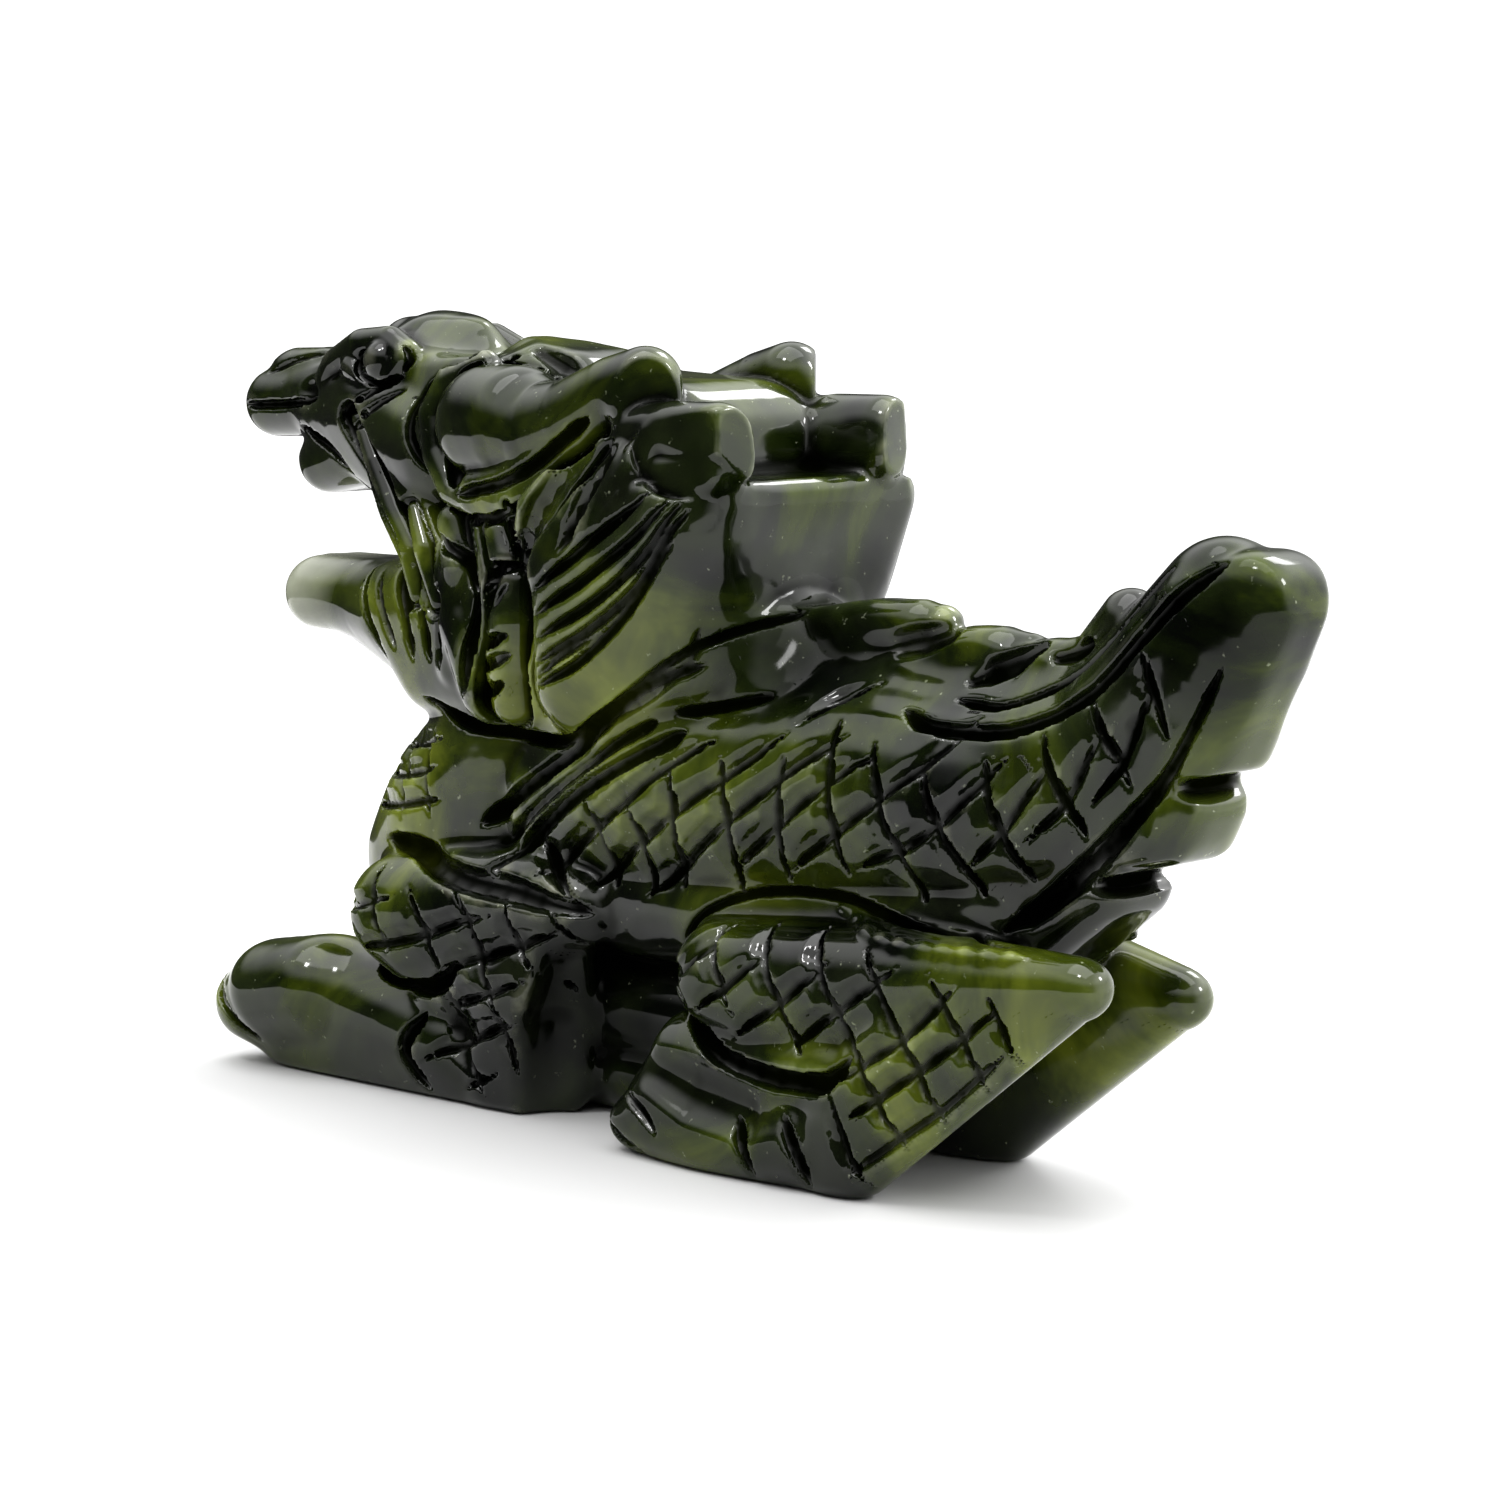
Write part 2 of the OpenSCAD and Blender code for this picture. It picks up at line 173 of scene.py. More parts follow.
class Block:
    """The stone: a distance field that forms are added to and cut from."""

    def __init__(self, field):
        self.f = field

    def window(self, low, high, margin):
        """The part of the grid in a box with a margin, as slices, and the coordinates there."""
        cut, coords = [], []
        for a in range(3):
            i = int(max(0, math.floor((low[a] - margin - ORIGIN[a]) / VOXEL)))
            j = int(min(SHAPE[a], math.ceil((high[a] + margin - ORIGIN[a]) / VOXEL) + 1))
            cut.append(slice(i, max(i, j)))
            form = [1, 1, 1]
            form[a] = -1
            coords.append(AXES[a][i:max(i, j)].reshape(form).astype(np.float32))
        return tuple(cut), coords

    def apply(self, low, high, distance, k, cut):
        """Adds or cuts a form, given its distance function and its box, with the join rounded over k."""
        place, (x, y, z) = self.window(low, high, MARGIN + k)
        part = self.f[place]
        if part.size == 0:
            return
        d = distance(x, y, z).astype(np.float32)
        self.f[place] = -smooth_min(-part, d, k) if cut else smooth_min(part, d, k)

    def limb(self, balls, k=0.5, cut=False):
        """A chain of balls [x, y, z, radius]."""
        balls = np.asarray(balls, float)
        low, high = (balls[:, :3] - balls[:, 3:]).min(0), (balls[:, :3] + balls[:, 3:]).max(0)

        def distance(x, y, z):
            best = None
            rows = balls if len(balls) > 1 else np.repeat(balls, 2, 0)
            for a, b in zip(rows[:-1], rows[1:]):
                ab = b[:3] - a[:3]
                n = max(float(ab @ ab), 1e-9)
                px, py, pz = x - a[0], y - a[1], z - a[2]
                t = np.clip((px * ab[0] + py * ab[1] + pz * ab[2]) / n, 0, 1)
                d = np.sqrt((px - t * ab[0]) ** 2 + (py - t * ab[1]) ** 2 + (pz - t * ab[2]) ** 2)
                d = d - (a[3] + t * (b[3] - a[3]))
                best = d if best is None else np.minimum(best, d)
            return best

        self.apply(low, high, distance, k, cut)

    def slice(self, centre, normal, reach, k=0.15):
        """Grinds a flat face: takes off what lies beyond a plane, within a reach of its centre."""
        centre, normal = np.array(centre, float), np.array(normal, float)
        normal /= np.linalg.norm(normal)

        def distance(x, y, z):
            x, y, z = x - centre[0], y - centre[1], z - centre[2]
            beyond = -(x * normal[0] + y * normal[1] + z * normal[2])
            return np.maximum(beyond, np.sqrt(x ** 2 + y ** 2 + z ** 2) - reach)

        self.apply(centre - reach, centre + reach, distance, k, True)

    def soften(self, x, y, z, radius, sigma, sides=BOTH):
        """Grinds the edges near a place rounder."""
        for side in sides:
            middle = (x, side * y, z)
            place, (gx, gy, gz) = self.window(middle, middle, radius)
            part = self.f[place]
            away = np.sqrt((gx - x) ** 2 + (gy - side * y) ** 2 + (gz - z) ** 2)
            weight = np.clip((radius - away) / (0.45 * radius), 0, 1)
            self.f[place] = part + weight * (blurred(part, sigma) - part)

    def trace(self, points, elevation, side):
        """Where a line that is seen from the side, at an elevation, falls on the stone: runs of rows
        x, y, z, radius. The line's points are (across, up, radius). side -1 mirrors it."""
        line = smooth_line(points)
        e = math.radians(elevation)
        toward = np.array([0.0, -math.cos(e), math.sin(e)])
        across = np.array([1.0, 0.0, 0.0])
        up = np.cross(toward, across)
        flip = np.array([1.0, side, 1.0])
        toward, across, up = toward * flip, across * flip, up * flip
        start = line[:, :1] * across + line[:, 1:2] * up
        reach = np.arange(LINE_FROM, LINE_TO, -VOXEL)
        spots = start[:, None, :] + reach[None, :, None] * toward
        inside = sample(self.frozen, ((spots - ORIGIN) / VOXEL).reshape(-1, 3)).reshape(spots.shape[:2])
        hit = inside < 0
        first = hit.argmax(1)
        good = hit.any(1) & (first > 0)
        rows = np.arange(len(line))
        before, after = inside[rows, np.maximum(first - 1, 0)], inside[rows, first]
        depth = reach[np.maximum(first - 1, 0)] - VOXEL * before / np.maximum(before - after, 1e-6)
        runs, run = [], []
        for i in rows:
            if run and (not good[i] or abs(depth[i] - depth[run[-1]]) > LINE_JUMP):
                runs.append(run)
                run = []
            if good[i]:
                run.append(i)
        runs.append(run)
        out = []
        for run in runs:
            if len(run) < 3:
                continue
            d = depth[run]
            d = np.convolve(np.pad(d, len(LINE_SMOOTH) // 2, mode="edge"), LINE_SMOOTH, "valid")
            at = start[run] + d[:, None] * toward
            out.append(np.column_stack([at, line[run, 2]]))
        return out

    def chain(self, rows, k, cut):
        """Limbs along the rows, a few rows at a time."""
        for i in range(0, len(rows) - 1, LINE_PART):
            self.limb(rows[i:i + LINE_PART + 1], k, cut)

    def freeze(self):
        """Later lines are laid on the stone as it is now."""
        self.frozen = self.f.copy()

    def groove(self, points, r=0.36, sink=0.05, elevation=0, k=0.1, taper=1.0):
        """A cut along a line, sunk by a little, that runs out at both ends over the taper."""
        for side in BOTH:
            for run in self.trace(with_radius(points, r), elevation, side):
                run = ends_in(run, taper)
                normal = gradient_at(self.frozen, (run[:, :3] - ORIGIN) / VOXEL)
                run[:, :3] -= normal * sink
                self.chain(run, k, True)

    def ridge(self, points, r=0.5, proud=0.25, k=0.35, taper=1.2):
        """A raised band along a line."""
        for side in BOTH:
            for run in self.trace(with_radius(points, r), 0, side):
                normal = gradient_at(self.frozen, (run[:, :3] - ORIGIN) / VOXEL)
                run = ends_in(run, taper)
                run[:, :3] += normal * (proud - run[:, 3:])
                self.chain(run, k, False)


def with_radius(points, r):
    """The points with r for those that give no radius of their own."""
    return [(p[0], p[1], p[2] if len(p) > 2 else r) for p in points]


def smooth_line(points):
    """A curve through the points, with a point at every step along it."""
    p = np.asarray(points, float)
    if len(p) > 2:
        q = np.vstack([2 * p[0] - p[1], p, 2 * p[-1] - p[-2]])
        out = []
        for i in range(1, len(q) - 2):
            t = np.linspace(0, 1, 12, endpoint=False)[:, None]
            out.append(0.5 * (2 * q[i] + (q[i + 1] - q[i - 1]) * t
                              + (2 * q[i - 1] - 5 * q[i] + 4 * q[i + 1] - q[i + 2]) * t ** 2
                              + (3 * q[i] - q[i - 1] - 3 * q[i + 1] + q[i + 2]) * t ** 3))
        p = np.vstack(out + [p[-1:]])
    along = np.concatenate([[0], np.cumsum(np.hypot(*np.diff(p[:, :2], axis=0).T))])
    n = max(3, int(along[-1] / LINE_STEP) + 1)
    at = np.linspace(0, along[-1], n)
    return np.column_stack([np.interp(at, along, p[:, i]) for i in range(3)])


def ends_in(run, taper):
    """The run with its radius shrinking towards both ends."""
    run = run.copy()
    along = np.concatenate([[0], np.cumsum(np.linalg.norm(np.diff(run[:, :3], axis=0), axis=1))])
    left = np.minimum(along, along[-1] - along)
    run[:, 3] *= 0.3 + 0.7 * np.clip(left / max(taper, 1e-3), 0, 1) ** 0.7
    return run


# ---- the stone as the CAD has it --------------------------------------------------------------------------

names = sorted(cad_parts)
node_fields = {}
stone = None
for name in names:
    node_fields[name] = level_set(*node_mesh(name))
    stone = node_fields[name].copy() if stone is None else np.minimum(stone, node_fields[name])
joined = rebuild(stone, CLOSED_GAP) + CLOSED_GAP
soft = blurred(joined, CREASE_BLUR) - CREASE_FILL
block = Block(np.maximum(blurred(joined, EDGE_BLUR), soft))

label_of = np.zeros(SHAPE, np.uint8)
nearest = np.full(SHAPE, 1e9, np.float32)
for i, name in enumerate(names):
    closer = node_fields[name] < nearest
    nearest[closer] = node_fields[name][closer]
    label_of[closer] = i + 1
del node_fields, nearest, joined, soft, stone


# ---- meshes -----------------------------------------------------------------------------------------------


def surface_net(field, labels):
    """Vertices for all the cells, one each, and the faces between them, with the label on each side."""
    solid = np.where(field < 0, labels, 0).astype(np.uint8)
    cells = tuple(n - 1 for n in SHAPE)
    total = np.zeros(cells + (3,), np.float32)
    count = np.zeros(cells, np.float32)
    quads = []
    for axis in range(3):
        near = [slice(None)] * 3
        far = [slice(None)] * 3
        near[axis], far[axis] = slice(0, -1), slice(1, None)
        a, b = solid[tuple(near)], solid[tuple(far)]
        fa, fb = field[tuple(near)], field[tuple(far)]
        u, v = [i for i in range(3) if i != axis]
        where = np.argwhere(a != b)
        keep = (where[:, u] > 0) & (where[:, v] > 0) & (where[:, u] < cells[u]) & (where[:, v] < cells[v])
        where = where[keep]
        index = tuple(where.T)
        outer = (a[index] == 0) | (b[index] == 0)
        t = np.where(outer, fa[index] / np.where(outer, fa[index] - fb[index], 1), 0.5)
        point = where.astype(np.float32)
        point[:, axis] += t
        corners = []
        for du, dv in ((0, 0), (-1, 0), (-1, -1), (0, -1)):
            cell = where.copy()
            cell[:, u] += du
            cell[:, v] += dv
            corners.append(cell)
            rows = cell[outer]
            np.add.at(total, tuple(rows.T), point[outer])
            np.add.at(count, tuple(rows.T), 1.0)
        flat = np.stack([np.ravel_multi_index(tuple(c.T), cells) for c in corners], 1)
        if axis == 1:
            flat = flat[:, ::-1]
        quads.append((flat, a[index], b[index], outer))
    mids = np.stack(np.meshgrid(*[np.arange(n) + 0.5 for n in cells], indexing="ij"), -1).astype(np.float32)
    points = np.where(count[..., None] > 0, total / np.maximum(count, 1)[..., None], mids).reshape(-1, 3)
    return points, quads


def gradient_at(field, points):
    """Unit outward directions, at points in grid steps."""
    out = np.empty((len(points), 3), np.float32)
    for axis in range(3):
        step = np.zeros(3)
        step[axis] = 0.6
        out[:, axis] = sample(field, points + step) - sample(field, points - step)
    return out / np.maximum(np.linalg.norm(out, axis=1, keepdims=True), 1e-9)


def build_pieces(field, labels, material):
    """One closed mesh for each label, with the relief and thin layers on its vertices."""
    points, quads = surface_net(field, labels)
    near, wide = blurred(field, RELIEF_BLUR), blurred(field, THIN_BLUR)
    for number, name in enumerate(names, 1):
        faces, on_outside = [], []
        for flat, a, b, outer in quads:
            mine = a == number
            faces.append(flat[mine])
            on_outside.append(outer[mine])
            mine = b == number
            faces.append(flat[mine][:, ::-1])
            on_outside.append(outer[mine])
        faces, on_outside = np.concatenate(faces), np.concatenate(on_outside)
        if len(faces) == 0:
            continue
        used, local = np.unique(faces, return_inverse=True)
        local = local.reshape(-1, 4)
        place = points[used]
        co = to_metres(ORIGIN + place * VOXEL)
        mesh = bpy.data.meshes.new("stone_" + name)
        mesh.vertices.add(len(co))
        mesh.vertices.foreach_set("co", co.astype(np.float32).ravel())
        mesh.loops.add(local.size)
        mesh.loops.foreach_set("vertex_index", local.ravel().astype(np.int32))
        mesh.polygons.add(len(local))
        mesh.polygons.foreach_set("loop_start", np.arange(0, local.size, 4, dtype=np.int32))
        mesh.update(calc_edges=True)
        mesh.validate()
        mesh.polygons.foreach_set("use_smooth", np.ones(len(mesh.polygons), bool))
        for kind, source in (("relief", near), ("thin", wide)):
            layer = mesh.attributes.new(kind, "FLOAT", "POINT")
            layer.data.foreach_set("value", sample(source, place).astype(np.float32))
        if len(mesh.polygons) == len(local):
            smooth = gradient_at(field, place)
            flat_normal = np.zeros(len(local) * 3, np.float32)
            mesh.polygons.foreach_get("normal", flat_normal)
            per_loop = smooth[local.ravel()]
            walls = np.repeat(~on_outside, 4)
            per_loop[walls] = np.repeat(flat_normal.reshape(-1, 3), 4, 0)[walls]
            mesh.normals_split_custom_set(per_loop)
        piece = bpy.data.objects.new("stone_" + name, mesh)
        bpy.context.scene.collection.objects.link(piece)
        piece.data.materials.append(material)
        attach(piece, "root")
        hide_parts(name)


# ---- the polished stone -----------------------------------------------------------------------------------

# Where the stone is lighter or darker than its clouds make it, partly its own tone and partly painted shade
# in recesses and a painted highlight: x, y, z, radius, gain.
TONE_AND_PAINTED_LIGHT = [
    (-1, 7, 17, 9, 0.14),             # front of the flank
    (10, 7, 19, 10, 0.08),            # rear of the flank
    (-4, 8, 24, 6, 0.12),             # foot of the mane
    (-0.5, 8, 29.5, 5.5, 0.12),       # its strands
    (8, 8, 31, 5, -0.14),             # its rear edge
    # painted shadow under the flank's edge, over the thigh
    (12, 8, 14.5, 6, -0.10),          # over the thigh
    (-0.2, 6.8, 39.2, 3.2, -0.08),    # end of the eyelid
    (-22.4, 4.4, 40.0, 2.8, -0.25),   # scroll over the nostril
    (-10, 6, 24, 5, 0.14),            # twisted lock
    (-20, 6, 17, 7, 0.12),            # chest
    (-18, 7, 10, 7, 0.08),            # upper arm
    # painted highlight on the hock
    (26, 7, 12, 6, 0.14),             # hock
    (36, 3, 27, 8, 0.05),             # rear of the tail
    (33, 0, 20, 6, 0.10),             # its lower edge
    (3, 6, 37, 6, -0.06),             # horns
    (-22, 0, 42, 6, -0.14),           # forehead
    (-5, 8, 34, 4, 0.06),             # ear
    (-32, 0, 27, 5, 0.12),            # tongue
    (-21, 4, 26, 5, 0.06),            # lower jaw
    # painted shade behind the mane
    (8, 3, 27, 6, -0.12),             # behind the mane
    (-14, 5, 36, 7, -0.08),           # eye
    (-21, 5, 35.5, 5.5, -0.20),       # cheek
    # painted shade between the limbs
    (-5, 5, 8, 7, -0.25),             # between the limbs
    # painted shade in the hollow over the rear foot
    (8, 6, 5, 5, -0.12),              # over the rear foot
    (-28, 6, 4, 8, -0.05),            # front foot
    (14, 3, 26, 8, -0.06),            # back
]

# Thin ends painted milky pale, a painted reflection of the bright light overhead: x, y, z, radius, amount.
PAINTED_REFLECTION = [
    (-34.6, 0, 27.6, 7.5, 0.95),      # tongue
]

# Recesses that the polishing wheel didn't reach, and the tail, whose end is duller: x, y, z, radius, loss.
UNPOLISHED = [
    (8, 4, 27, 5.5, 0.8),             # behind the mane
    (-5, 4, 5, 7, 0.75),              # between the limbs
    (8, 0, 36, 5, 0.6),               # between the horns
    (7, 8, 5, 5, 0.3),                # over the rear foot
    (37, 2, 30, 9, 0.45),             # rear of the tail
]


def grey(value):
    return (value, value, value, 1)


def stone_material():
    mat = bpy.data.materials.new("polished_jade")
    mat.use_nodes = True
    nodes, links = mat.node_tree.nodes, mat.node_tree.links
    shader = nodes["Principled BSDF"]
    place = nodes.new("ShaderNodeTexCoord")

    def noise(scale, detail, distortion=0.0, roughness=0.55):
        n = nodes.new("ShaderNodeTexNoise")
        n.inputs["Scale"].default_value = scale
        n.inputs["Detail"].default_value = detail
        n.inputs["Roughness"].default_value = roughness
        n.inputs["Distortion"].default_value = distortion
        links.new(place.outputs["Object"], n.inputs["Vector"])
        return n.outputs["Fac"]

    def ramp(source, stops):
        r = nodes.new("ShaderNodeValToRGB")
        r.color_ramp.elements[0].position, r.color_ramp.elements[0].color = stops[0]
        r.color_ramp.elements[1].position, r.color_ramp.elements[1].color = stops[-1]
        for position, colour in stops[1:-1]:
            r.color_ramp.elements.new(position).color = colour
        links.new(source, r.inputs["Fac"])
        return r.outputs["Color"]

    def mix(kind, a, b, amount=1.0):
        m = nodes.new("ShaderNodeMix")
        m.data_type = "RGBA"
        m.blend_type = kind
        if isinstance(amount, float):
            m.inputs["Factor"].default_value = amount
        else:
            links.new(amount, m.inputs["Factor"])
        links.new(a, m.inputs["A"])
        links.new(b, m.inputs["B"])
        return m.outputs["Result"]

    def layer(name):
        n = nodes.new("ShaderNodeAttribute")
        n.attribute_name = name
        return n.outputs["Fac"]

    def span(source, low, high, to_low=0.0, to_high=1.0):
        m = nodes.new("ShaderNodeMapRange")
        m.inputs["From Min"].default_value = low
        m.inputs["From Max"].default_value = high
        m.inputs["To Min"].default_value = to_low
        m.inputs["To Max"].default_value = to_high
        links.new(source, m.inputs["Value"])
        return m.outputs["Result"]

    # The place on the figure with the right side folded onto the left one.
    whole = nodes.new("ShaderNodeSeparateXYZ")
    links.new(place.outputs["Object"], whole.inputs["Vector"])
    off_middle = nodes.new("ShaderNodeMath")
    off_middle.operation = "ABSOLUTE"
    links.new(whole.outputs["Y"], off_middle.inputs[0])
    folded = nodes.new("ShaderNodeCombineXYZ")
    links.new(whole.outputs["X"], folded.inputs["X"])
    links.new(off_middle.outputs["Value"], folded.inputs["Y"])
    links.new(whole.outputs["Z"], folded.inputs["Z"])

    def zone(x, y, z, radius):
        """1 at a place on the figure, in its own units, fading to 0 at a radius, on both sides."""
        far = nodes.new("ShaderNodeVectorMath")
        far.operation = "DISTANCE"
        links.new(folded.outputs["Vector"], far.inputs[0])
        far.inputs[1].default_value = to_metres([x, y, z])
        return span(far.outputs["Value"], 0.3 * radius * UNIT, radius * UNIT, 1.0, 0.0)

    def add(a, b, scale=1.0):
        m = nodes.new("ShaderNodeMath")
        m.operation = "MULTIPLY_ADD"
        links.new(b, m.inputs[0])
        m.inputs[1].default_value = scale
        links.new(a, m.inputs[2])
        return m.outputs["Value"]

    def product(a, b):
        m = nodes.new("ShaderNodeMath")
        m.operation = "MULTIPLY"
        links.new(a, m.inputs[0])
        links.new(b, m.inputs[1])
        return m.outputs["Value"]

    relief = span(layer("relief"), -RELIEF_SPAN, RELIEF_SPAN)

    # Clouds from nearly black to olive, with a faint haze over them.
    patches = noise(85, 5, 0.9)
    # The zones add the stone's own tone, and painted shade and painted highlights, to the clouds.
    for x, y, z, radius, gain in TONE_AND_PAINTED_LIGHT:
        patches = add(patches, zone(x, y, z, radius), gain)
    clouds = ramp(patches, [
        (0.40, (0.0008, 0.0020, 0.0003, 1)),
        (0.49, (0.0062, 0.0110, 0.0008, 1)),
        (0.58, (0.034, 0.047, 0.0022, 1)),
        (0.74, (0.125, 0.150, 0.014, 1)),
    ])
    haze = ramp(noise(210, 4, 0.3), [(0.42, (0, 0, 0, 1)), (0.70, (0.012, 0.015, 0.006, 1))])
    colour = mix("ADD", clouds, haze)
    # Thin parts are painted paler, a painted glow for light coming through them, less so where the stone is
    # dark.
    pale = ramp(noise(60, 4, 0.5), [(0.3, (0.011, 0.016, 0.003, 1)), (0.75, (0.060, 0.074, 0.014, 1))])
    lit = product(span(layer("thin"), 0.75, 1.3, 0.0, 0.7), span(patches, 0.28, 0.46))
    colour = mix("MIX", colour, pale, lit)
    specks = ramp(noise(2300, 2), [(0.70, (0, 0, 0, 1)), (0.78, (0.15, 0.16, 0.12, 1))])
    colour = mix("ADD", colour, specks)
    # Painted shade darkens the grooves, and painted highlights lighten the edges, which are also worn pale
    # in places.
    shade = ramp(relief, [(0.0, grey(0.02)), (0.36, grey(0.15)), (0.5, grey(0.85)), (0.62, grey(0.95)),
                          (0.78, grey(1.7))])
    colour = mix("MULTIPLY", colour, shade)
    # Painted glints along the lips of the cuts, which also stand for wear there.
    edge_glint_and_wear = mix("MULTIPLY", ramp(relief, [(0.66, grey(0.0)), (0.88, grey(0.2))]),
               ramp(noise(700, 3), [(0.40, grey(0.1)), (0.62, (1.0, 1.0, 0.75, 1))]))
    colour = mix("ADD", colour, edge_glint_and_wear)
    # A painted milky reflection of the light overhead, on the tongue.
    reflection_colour = ramp(noise(160, 4), [(0.3, (0.36, 0.38, 0.28, 1)), (0.7, (0.66, 0.68, 0.57, 1))])
    for x, y, z, radius, amount in PAINTED_REFLECTION:
        share = ramp(zone(x, y, z, radius), [(0.0, grey(0.0)), (1.0, grey(amount))])
        colour = mix("MIX", colour, reflection_colour, share)
    links.new(colour, shader.inputs["Base Color"])

    # Polished, but dull and without reflections in the grooves.
    gloss = ramp(noise(260, 5), [(0.3, grey(0.05)), (0.75, grey(0.14))])
    dull = ramp(relief, [(0.2, grey(0.75)), (0.4, grey(0.0))])
    gloss = mix("ADD", gloss, dull)
    links.new(gloss, shader.inputs["Roughness"])
    shader.inputs["IOR"].default_value = 1.52
    shine = ramp(relief, [(0.28, grey(0.0)), (0.46, grey(0.5))])
    for x, y, z, radius, loss in UNPOLISHED:
        kept = ramp(zone(x, y, z, radius), [(0.0, grey(1.0)), (1.0, grey(1 - loss))])
        shine = mix("MULTIPLY", shine, kept)
    links.new(shine, shader.inputs["Specular IOR Level"])

    bump = nodes.new("ShaderNodeBump")
    bump.inputs["Strength"].default_value = 0.5
    bump.inputs["Distance"].default_value = 0.0006
    links.new(noise(140, 3, 0.0, 0.4), bump.inputs["Height"])
    links.new(bump.outputs["Normal"], shader.inputs["Normal"])
    return mat


# ---- carving ----------------------------------------------------------------------------------------------
# Lines are given as (along x, up z) on the left side, and are mirrored to the right one.


def both_sides(balls, **kind):
    for side in BOTH:
        block.limb([(x, side * y, z, r) for x, y, z, r in balls], **kind)


def both_slices(centre, normal, reach):
    for side in BOTH:
        flip = np.array([1, side, 1])
        block.slice(centre * flip, normal * flip, reach)


def lock(balls, moat=0.45, out=0.8):
    """A form that stands clear of the stone around it, in a narrow trench."""
    both_sides([(x, y - out, z, r + moat) for x, y, z, r in balls], cut=True, k=0.15)
    both_sides(balls, k=0.15)


# Fins along the back: three humps, each with a hollow behind.
block.limb([(5.0, 0, 25.4, 1.7), (9.6, 0, 27.0, 1.6), (13.8, 0, 27.8, 1.3), (15.0, 0, 27.9, 1.1)], k=0.6)
block.limb([(6.0, 0, 23.6, 3.0), (12.0, 0, 24.0, 2.6), (20.0, 0, 24.0, 2.4), (25.0, 0, 25.4, 2.0)], k=1.0)
block.limb([(15.6, 0, 25.6, 1.5), (17.2, 0, 26.6, 1.5), (19.0, 0, 26.9, 1.3), (20.8, 0, 27.0, 1.0)],
           k=0.3)
block.limb([(21.6, 0, 25.6, 1.4), (22.8, 0, 26.5, 1.2), (24.6, 0, 27.3, 1.0), (27.0, 0, 29.0, 1.6)],
           k=0.4)
both_sides([(12.6, -2.0, 26.7, 0.35), (13.6, -1.8, 27.1, 0.75), (14.8, -1.5, 27.4, 0.85),
            (16.4, -1.2, 27.9, 0.7)], cut=True, k=0.2)
both_sides([(18.8, -2.0, 25.7, 0.35), (19.8, -1.7, 26.2, 0.7), (21.0, -1.4, 26.7, 0.75),
            (22.2, -1.0, 27.4, 0.5)], cut=True, k=0.2)
both_sides([(23.6, -1.3, 27.1, 0.3), (24.8, -1.1, 27.5, 0.5), (25.8, -0.8, 28.0, 0.35)], cut=True, k=0.2)

# Scalloped rear edge of the tail.
block.limb([(36.7, -6, 22.3, 2.0), (36.7, 6, 22.3, 2.0)], cut=True, k=0.5)
both_sides([(32.4, -3.6, 21.2, 0.4), (33.6, -3.2, 21.6, 0.9), (35.4, -2.2, 22.0, 1.0)], cut=True, k=0.25)
both_sides([(28.0, -3.8, 16.6, 0.4), (29.4, -3.2, 16.9, 0.9), (31.2, -2.2, 17.1, 1.1)], cut=True, k=0.25)

# Elbow and knee: stone between the parts of each limb, under the belly and in the throat, and the hollow
# over the rear foot.
both_sides([(-17.0, -4.8, 6.2, 1.9), (-13.5, -4.9, 7.4, 2.4), (-9.5, -4.9, 6.6, 2.2)], k=0.8)
both_sides([(-3.4, -8.4, 9.6, 1.8), (-4.4, -8.2, 5.0, 2.6), (-5.2, -8.2, 0.0, 3.2)], cut=True, k=1.0)
both_sides([(-6.4, -5.6, 8.4, 1.4), (-7.2, -5.4, 4.8, 2.3), (-7.6, -5.4, 0.4, 2.6)], cut=True, k=0.9)
block.limb([(-10.0, 0, 2.3, 2.3), (7.0, 0, 2.3, 2.3)], k=0.8)
block.limb([(-10.0, 0, 6.0, 3.0), (7.0, 0, 6.0, 3.0)], k=0.8)
block.limb([(-18.0, 0, 31.6, 1.8), (-11.0, 0, 30.4, 2.6)], k=0.8)
both_sides([(-32.4, -6.2, 3.4, 2.3), (-30.4, -6.2, 4.4, 2.8), (-27.0, -6.0, 5.0, 2.8)], k=0.8)
both_sides([(2.4, -5.2, 5.4, 2.2), (8.0, -5.2, 5.4, 2.4), (13.0, -5.2, 6.2, 2.2)], k=0.8)
both_sides([(2.4, -8.9, 12.2, 1.6), (-1.2, -9.0, 9.6, 2.4), (-2.0, -9.2, 6.0, 2.4)], cut=True, k=0.8)
both_sides([(1.8, -9.3, 5.4, 1.9), (5.2, -9.4, 4.5, 2.3), (8.8, -9.4, 4.0, 2.3), (12.0, -9.2, 4.4, 1.7)],
           cut=True, k=0.3)

# Edges that the carver rounded over.
for place in ((6.2, -8.2, 26.5, 4.5, 1.6, (1,)), (6.2, -8.2, 30.4, 4.4, 1.5, (1,)),
              (6.2, -8.0, 33.6, 3.6, 1.3, (1,)), (35.6, -5.6, 29.6, 4.6, 1.5),
              (34.8, -5.6, 26.0, 4.2, 1.5), (32.6, -5.8, 21.6, 4.0, 1.3), (7.0, -4.4, 26.6, 3.8, 1.3),
              (-4.8, -7.2, 9.0, 3.8, 1.2), (-5.0, -7.2, 4.6, 4.0, 1.2), (-5.0, -7.2, 0.6, 3.6, 1.0),
              (-0.6, -6.4, 9.0, 3.6, 1.2), (-1.0, -6.4, 5.0, 3.6, 1.2)):
    block.soften(*place)

